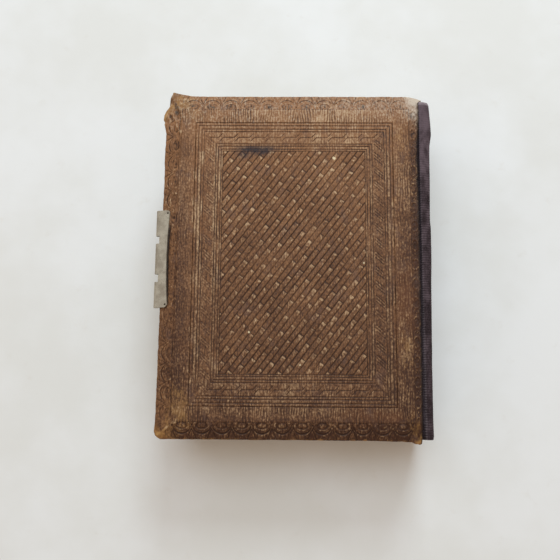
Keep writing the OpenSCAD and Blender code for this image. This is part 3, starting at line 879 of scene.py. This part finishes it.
def turn_in_piece(side, material, pitch):
    """Leather that wraps the board's edge and is turned in, along head, fore-edge and tail."""
    xs, ys = border_stations(pitch)
    path = ([(x, HALF_H) for x in xs[::-1]] + [(X_FORE, y) for y in ys[::-1][1:]]
            + [(x, -HALF_H) for x in xs[1:]])
    path, seed = np.array(path), SEEDS[side]
    edge_x, edge_y = worn_outline(path[:, 0], path[:, 1], seed)
    edge_z, _ = cover_surface(path[:, 0], path[:, 1], seed)
    shift_x, shift_y = edge_x - path[:, 0], edge_y - path[:, 1]
    rings, edges, torn = [], [], []
    for inset, fall, share in WRAP:
        x = np.where(path[:, 0] < X_FORE + inset, X_FORE + inset, path[:, 0])
        y = np.clip(path[:, 1], -HALF_H + inset, HALF_H - inset)
        wave = 0.35 * noise(path[:, 0] * 0.3, path[:, 1] * 0.3, seed + 61) * (inset > 6)
        z = edge_z + (Z_TURN - edge_z) * fall
        on_ends = np.abs(path[:, 1]) > HALF_H - 1e-6
        y = y - np.sign(path[:, 1]) * wave * on_ends
        x = x + wave * ~on_ends
        rings.append(np.column_stack([x + shift_x * share, y + shift_y * share, z]))
        edges.append(np.full(len(path), 0.7 * share))
        torn.append(0.6 * share * np.exp(-((path[:, 0] - X_FORE) / 8) ** 2 - ((76 - path[:, 1]) / 10) ** 2))
    points = np.stack(rings, 1).reshape(-1, 3)
    count, turns = len(path), len(WRAP)
    faces = tube_faces(count - 1, turns)
    maps = {"edge": np.stack(edges, 1).ravel(), "torn": np.stack(torn, 1).ravel()}
    points = turned_over(points) if side == "front" else points
    piece = make_piece(side + "_leather_turn_in", points, faces, material, maps)
    with edited(piece) as shell:
        shell.verts.ensure_lookup_table()
        for start in (0, (count - 1) * turns):
            shell.faces.new([shell.verts[start + k] for k in range(turns)])
        bmesh.ops.remove_doubles(shell, verts=shell.verts, dist=2e-6)
    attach(piece, side + "_cover")


def cover_pieces(side, coarser):
    """The leather of one cover: panel, frame and border of its outer face, and its turn-in."""
    material, inner = leather(side + "_leather_face"), BOOK_T - LEATHER_T
    panel = leather_part(side, "panel", *brick_panel_grid(*[p * coarser for p in BRICK_PITCH]), material,
                         inner)
    leather_part(side, "frame", *frame_grid(FRAME_PITCH * coarser), material, inner)
    border = ring_grid(*border_stations(BORDER_PITCH * coarser), FRAME_W, FRAME_H)
    leather_part(side, "border", *border, material, inner - BEVEL_DROP)
    turn_in_piece(side, leather(side + "_leather_back", plain=True), TURN_IN_PITCH * coarser)
    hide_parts(side + "_leather")


# ---- Spine: the repair tape in three strips, one for each joint that it crosses
def spine_line(depth, count):
    """Points down the spine's outer face from shoulder to shoulder, depth inside it."""
    centre_x = X_SPINE - SPINE_R
    half = TAPE_HIGH[2] - MID_Z
    rise = half - SHOULDER_R
    fillet_x = centre_x + math.sqrt((SPINE_R - SHOULDER_R) ** 2 - rise**2)
    lean = math.asin(rise / (SPINE_R - SHOULDER_R))
    arc = [(fillet_x + (SHOULDER_R - depth) * math.cos(a), rise + (SHOULDER_R - depth) * math.sin(a))
           for a in np.linspace(math.pi / 2, lean, 8)]
    back = [(centre_x + (SPINE_R - depth) * math.cos(a), (SPINE_R - depth) * math.sin(a))
            for a in np.linspace(lean, -lean, count)[1:-1]]
    return [(x, MID_Z + h) for x, h in arc + back + [(x, -h) for x, h in arc[::-1]]]


def even_line(points, pitch):
    """Points at most a pitch apart along a line of points."""
    points = np.array(points, float)
    gaps = np.hypot(*np.diff(points, axis=0).T)
    run = np.concatenate([[0], np.cumsum(gaps)])
    places = np.linspace(0, run[-1], max(2, round(run[-1] / pitch) + 1))
    return np.column_stack([np.interp(places, run, points[:, k]) for k in (0, 1)]), run[-1]


RIB = 1.05
TAPE_PITCH = 0.7
# How far the loose tape stands off the spine, from tail to head
TAPE_BULGE = ((-76, -0.1), (-60, -0.1), (-43, 0.05), (-24, 0.35), (-10, 0.65), (2.5, 0.95), (12, 1.1),
              (15.5, 1.05), (18.4, 0.75), (27, 0.95), (37, 1.15), (48.7, 1.3), (53.5, 1.5), (58.5, 2.3),
              (63.6, 2.1), (68, 1.8), (72.4, 1.5), (73.2, 1.3))
SELVEDGE_X = X_HINGE


def tape_shift(x, y, z):
    """Shift in X and Z of the tape where it is loose, and under the bevelled ends of the leather."""
    loose = step(z, 24, 34) * (1 - step(z, 43.6, 45.1))
    out = table_at(TAPE_BULGE, y) * loose
    bevel = BEVEL_DROP * np.clip(1 - (HALF_H - np.abs(y)) / BEVEL_W, 0, 1)
    tucked = 1 - step(x, X_EDGE - 0.2, X_HINGE + 0.4)
    return out, -np.sign(z - MID_Z) * (bevel + 0.1) * tucked


def tape_strip(name, line, material, nodes):
    """Cloth strip along a line in X and Z, ribbed across, that runs across the joint between two bodies."""
    line, length = even_line(line, TAPE_PITCH)
    tangent = np.gradient(line, axis=0)
    normal = np.column_stack([tangent[:, 1], -tangent[:, 0]])
    normal /= np.linalg.norm(normal, axis=1)[:, None]
    y_low, y_high = TAPE_LOW[1], TAPE_HIGH[1]
    ys = np.linspace(y_low, y_high, round((y_high - y_low) / (RIB / 6)) + 1)
    run = np.linspace(0, length, len(line))
    u, v = np.meshgrid(run, ys, indexing="ij")
    body_x, body_z = [np.repeat(line[:, k][:, None], len(ys), 1) for k in (0, 1)]
    rib = np.sin(2 * np.pi * (v + 0.25 * noise(u * 0.12, v * 0.05, 71)) / RIB)
    ripple = 0.10 * rough(v * 0.09, u * 0.15, 72) - 0.05
    upper = body_z > MID_Z
    selvedge = dip(body_x - SELVEDGE_X, 0.6) * upper
    # Painted shade on the tape beside the leather's edge, where the tape runs under it
    shaded = (1 - step(body_x, X_EDGE + 0.1, X_EDGE + 0.95)) * upper
    ends = np.minimum(v - y_low, y_high - v)
    frayed = (1 - step(y_high - v, 0.4, 2.2)) * upper * step(body_z, 36, 44)
    shift_x, shift_z = tape_shift(body_x, v, body_z)
    out = 0.03 * rib + ripple + 0.06 * selvedge - 0.3 * (1 - step(ends, 0, 1.5))
    layers = []
    for depth in (0, TAPE_T - 0.1):
        layers.append(np.stack([body_x + shift_x - normal[:, 0][:, None] * (out - depth), v,
                                body_z + shift_z - normal[:, 1][:, None] * (out - depth)],
                               -1).reshape(-1, 3))
    points = np.concatenate(layers)
    count_u, count_v = len(line), len(ys)
    top = grid_cells(count_u, count_v)
    shift = count_u * count_v
    rim = ([i * count_v for i in range(count_u)]
           + [(count_u - 1) * count_v + j for j in range(1, count_v)]
           + [i * count_v + count_v - 1 for i in range(count_u - 2, -1, -1)]
           + [j for j in range(count_v - 2, 0, -1)])
    walls = [(a, b, b + shift, a + shift) for a, b in zip(rim, rim[1:] + rim[:1])]
    faces = top.tolist() + (top[:, ::-1] + shift).tolist() + walls
    dots = selvedge * (0.55 + 0.45 * rib)
    rib_show = 1 - 0.6 * step(v, 20, 60)
    maps = {
        "relief": (1 - 0.5 * rib_show * (1 - rib)) * (1 - shaded),
        "edge": np.clip(0.4 * dots + 0.8 * frayed, 0, 1),
        "tone": np.interp(v, (-76, -40, 30, 60, 76), (0.0, 0.1, 0.35, 0.55, 0.6)) - 1.2 * shaded,
    }
    maps = {key: np.tile(values.ravel(), 2) for key, values in maps.items()}
    piece = outward(make_piece(name, points, faces, material, maps))
    layer = piece.data.attributes.new("rest", "FLOAT_VECTOR", "POINT")
    layer.data.foreach_set("vector", points.astype(np.float32).ravel())
    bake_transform(piece)
    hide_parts(*nodes)


def tape_pieces():
    """The tape over the back joint, the spine and the front joint."""
    material = ribbed_tape("ribbed_tape")
    down = spine_line(0, 40)
    cut_z = TAPE_HIGH[2] - 7.0
    upper = [p for p in down if p[1] >= cut_z]
    middle = [p for p in down if cut_z >= p[1] >= BOOK_T - cut_z]
    upper.append(middle[0])
    under = BOOK_T - LEATHER_T - 0.12
    tucked = [(X_HINGE - 9, under), (X_EDGE - 1.2, under), (X_EDGE - 0.3, under - 0.25),
              (X_EDGE + 0.25, under - 0.9), (X_EDGE + 0.75, under - 0.75), (X_HINGE + 0.15, under + 0.05),
              (X_HINGE + 0.6, under + 0.2)]
    back = tucked + upper
    front = [(x, BOOK_T - z) for x, z in back[::-1]]
    tape_strip("tape_back_joint", back, material,
               ["back_tape_flap", "spine_tape_rear"])
    tape_strip("tape_spine", [upper[-1], *middle, (upper[-1][0], BOOK_T - upper[-1][1])], material,
               ["spine_tape_front"])
    tape_strip("tape_front_joint", front, material,
               ["front_tape_flap"])


# ---- Text block
LEAVES_SHOWN = 8
SHEET_PITCH = 2.5


def section_piece(number, material):
    """One sewn section as its stacked leaves, each a little out of line with the next."""
    name = f"section_{number:02d}"
    rear = number > 10
    outward_k = number - 11 if rear else 10 - number
    spine_half = TAPE_HIGH[2] - MID_Z - 1.05
    rng = np.random.default_rng(number)
    points, faces = [], []

    def level(share, top):
        return CORE_HALF + (top - CORE_HALF) * (outward_k + share) / 10

    for k in range(LEAVES_SHOWN):
        a, b = k / LEAVES_SHOWN, (k + 1) / LEAVES_SHOWN
        back_in = abs(rng.normal(0, 0.10)) + (0.12 if k in (0, LEAVES_SHOWN - 1) else 0)
        head_in, tail_in = abs(rng.normal(0, 0.09)), abs(rng.normal(0, 0.09))
        outline = []
        for share in (a, b):
            h = level(share, PAGE_HALF)
            fore = FORE_X + 3.0 * (1 - (h / PAGE_HALF) ** 2) + back_in
            f = level(share, spine_half)
            fold = X_SPINE - SPINE_R + math.sqrt((SPINE_R - 1.15) ** 2 - min(f, spine_half) ** 2)
            if outward_k == 9 and share > 0.55:
                fold = min(fold, X_SPINE - 2.1 - 3.2 * (share - 0.55))
            stops = [fore, fore + 3, fore + 12, X_GUTTER - 14, X_GUTTER - 3, X_GUTTER, fold]
            heights = [h] * 6 + [f]
            if share == b and k == LEAVES_SHOWN - 1:
                heights = [v - 0.02 for v in heights]
            outline.append(list(zip(stops, heights)))
        ring = outline[0] + outline[1][::-1]
        base = len(points)
        for y in (PAGE_LOW[1] + tail_in, PAGE_HIGH[1] - head_in):
            points += [(x, y, MID_Z + h if rear else MID_Z - h) for x, h in ring]
        n, half = len(ring), len(ring) // 2
        faces += [(base + i, base + (i + 1) % n, base + n + (i + 1) % n, base + n + i) for i in range(n)]
        for end in (0, n):
            faces += [(base + end + i, base + end + i + 1, base + end + n - 2 - i, base + end + n - 1 - i)
                      for i in range(half - 1)]
    piece = outward(make_piece(name + "_leaves", points, faces, material, smooth=False))
    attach(piece, "rear_block" if rear else "front_block")
    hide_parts(name)


def end_band(node, material):
    """Core wound with thread, which follows the spine at head or tail."""
    low, high = box_mm(node)
    turns = max(8, round((high[2] - low[2]) / 0.62))
    rows, ring = turns * 6, 12
    mid_y, radius_y = (low[1] + high[1]) / 2, (high[1] - low[1]) / 2 - 0.08
    depth = 2.2
    points, stripe = [], []
    for i in range(rows + 1):
        z = low[2] + 0.05 + (high[2] - low[2] - 0.1) * i / rows
        outer = X_SPINE - SPINE_R + math.sqrt((SPINE_R - 1.1) ** 2 - (z - MID_Z) ** 2)
        swell = 0.90 + 0.10 * abs(math.sin(math.pi * turns * i / rows))
        for k in range(ring):
            a = 2 * math.pi * k / ring
            points.append((outer - depth / 2 + (depth / 2 - 0.08) * swell * math.cos(a),
                           mid_y + radius_y * swell * math.sin(a), z))
            stripe.append(float(math.floor(turns * i / rows) % 2))
    faces = tube_faces(rows, ring) + [tuple(range(ring)), tuple(range(rows * ring, (rows + 1) * ring))]
    piece = outward(make_piece(node + "_wound", points, faces, material, {"stripe": stripe}))
    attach(piece, "front_block" if node.endswith("front") else "rear_block")
    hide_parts(node)


def leaf_piece(node, material, body, curl):
    """One leaf or pasted sheet: a thin sheet with soft corners and slightly uneven edges."""
    low, high = box_mm(node)
    xs, ys = spread(low[0], high[0], SHEET_PITCH), spread(low[1], high[1], SHEET_PITCH)
    x, y = grid_points(xs, ys)
    edge_x, edge_y = (x - low[0]) / 6, (high[1] - np.abs(y)) / 6
    corner = np.clip(1 - edge_x, 0, 1) ** 3 * np.clip(1 - edge_y, 0, 1) ** 3
    moved_x = x + 0.9 * corner + 0.10 * (x <= low[0]) * rough(y * 0.1, y * 0, curl)
    moved_y = y - np.sign(y) * 0.9 * corner
    cells = grid_cells(len(xs), len(ys))
    points = np.column_stack([moved_x, moved_y, np.full(len(x), high[2])])
    piece = make_piece(node + "_sheet", points, cells, material)
    close_below(piece, low[2])
    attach(piece, body)
    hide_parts(node)


def board_piece(side, material):
    """Millboard with a bevelled face, worn at its fore-edge corners like the leather over it."""
    node, front = side + "_board", side == "front"
    low, high = box_mm(node)
    face, back = (BOOK_T - low[2], BOOK_T - high[2]) if front else (high[2], low[2])
    xs, ys = spread(low[0], high[0], SHEET_PITCH), spread(low[1], high[1], SHEET_PITCH)
    x, y = grid_points(xs, ys)
    z = np.minimum(bevelled(x, y)[1] - LEATHER_T - 0.1, face)
    worn_x, _ = worn_outline(x, y, 0)
    moved_x = x + 1.4 * np.where(x < 0, worn_x - x, 0)
    cells = grid_cells(len(xs), len(ys))
    points = np.column_stack([moved_x, y, z])
    piece = make_piece(node + "_worn", turned_over(points) if front else points, cells, material)
    close_below(piece, BOOK_T - back if front else back)
    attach(piece, side + "_cover")
    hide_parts(node)


def repaint(node, material):
    """Gives a CAD piece that is shown as it is its material."""
    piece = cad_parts[node]
    piece.data.materials.clear()
    piece.data.materials.append(material)


def build_book():
    """All the pieces of the book, and the materials of the CAD pieces that stay."""
    cover_pieces("back", 1.0)
    cover_pieces("front", FRONT_COARSER)
    tape_pieces()
    leaves = paper("leaf_edges", rgb(222, 208, 176), rgb(196, 176, 138), True)
    for number in range(1, 21):
        section_piece(number, leaves)
    text = paper("text_leaf", rgb(230, 219, 192), rgb(212, 196, 160))
    end = paper("end_leaf", rgb(224, 212, 184), rgb(200, 182, 144))
    for k in (1, 2, 3):
        leaf_piece(f"middle_leaf_{k}", text, f"middle_leaf_{k}", 80 + k)
    for side in ("front", "back"):
        leaf_piece(side + "_flyleaf", end, side + "_flyleaf", 90)
        repaint(side + "_pastedown", end)
        millboard = plain_solid(side + "_millboard", rgb(168, 144, 108), rgb(120, 98, 68), (0.5, 1.2, 0.5))
        board_piece(side, millboard)
    band = striped_band("wound_silk")
    cloth = woven_cloth("lining_weave", rgb(200, 180, 140), rgb(140, 116, 80), 0.9)
    hemp = plain_solid("hemp_cord", rgb(206, 188, 148), rgb(142, 118, 80), (0.2, 0.6, 0.5))
    linen = plain_solid("linen_thread", rgb(236, 226, 204), rgb(186, 168, 132), (0.3, 0.2, 0.3))
    for half in ("front", "rear"):
        for end_name in ("head", "tail"):
            end_band(f"{end_name}_band_{half}", band)
        repaint("spine_lining_" + half, cloth)
        repaint("sewing_cords_" + half, hemp)
        repaint("sewing_thread_" + half, linen)
    nickel = aged_nickel("aged_nickel")
    iron = plain_solid("dark_pin", rgb(92, 86, 74), rgb(44, 38, 32), (0.3, 0.3, 0.3), 0.04, 0.5, 0.9)
    for node in ("hinge_leaf", "catch_plate"):
        repaint(node, nickel)
    for node in ("hinge_leaf_pins", "catch_pins"):
        repaint(node, iron)


# ---- Setting
FLOOR_HALF = 30000.0
LENS, SENSOR_W = 45.0, 36.0
CAMERA_PLACE = (-1.6, -58.65, 343.0)
CAMERA_DEGREES = (9.566, 0.755, 0.444)


def build_setting():
    """Floor, camera, the two lamps and the light of the room."""
    corners = [(x * FLOOR_HALF, y * FLOOR_HALF, 0) for x, y in ((-1, -1), (1, -1), (1, 1), (-1, 1))]
    floor = make_piece("floor", corners, [(0, 1, 2, 3)], floor_plaster("pale_floor"), smooth=False)

    camera = bpy.data.objects.new("camera", bpy.data.cameras.new("camera"))
    camera.data.lens = LENS
    camera.data.sensor_width = SENSOR_W
    camera.data.clip_start = 0.01
    camera.location = Vector(CAMERA_PLACE) * MM
    camera.rotation_euler = Euler([math.radians(a) for a in CAMERA_DEGREES])
    bpy.context.scene.collection.objects.link(camera)
    bpy.context.scene.camera = camera

    def area_light(name, place, size_x, size_y, power, color):
        light = bpy.data.lights.new(name, "AREA")
        light.shape = "RECTANGLE"
        light.size, light.size_y = size_x, size_y
        light.energy, light.color = power, color
        lamp = bpy.data.objects.new(name, light)
        lamp.location = place
        lamp.rotation_euler = (-Vector(place)).to_track_quat("-Z", "Y").to_euler()
        bpy.context.scene.collection.objects.link(lamp)

    area_light("key_light", (0.17, 0.85, 0.8), 0.4, 0.4, 6.4, (0.76, 0.91, 1.0))
    area_light("window_light", (-0.18, 0.6, 1.8), 1.2, 0.9, 13, (0.74, 0.90, 1.0))
    world = bpy.data.worlds.new("studio")
    world.use_nodes = True
    sky = world.node_tree.nodes["Background"]
    sky.inputs["Color"].default_value = (1.0, 0.82, 0.67, 1.0)
    sky.inputs["Strength"].default_value = 0.5
    bpy.context.scene.world = world
    bpy.context.scene.view_settings.view_transform = "Standard"


build_setting()
build_book()
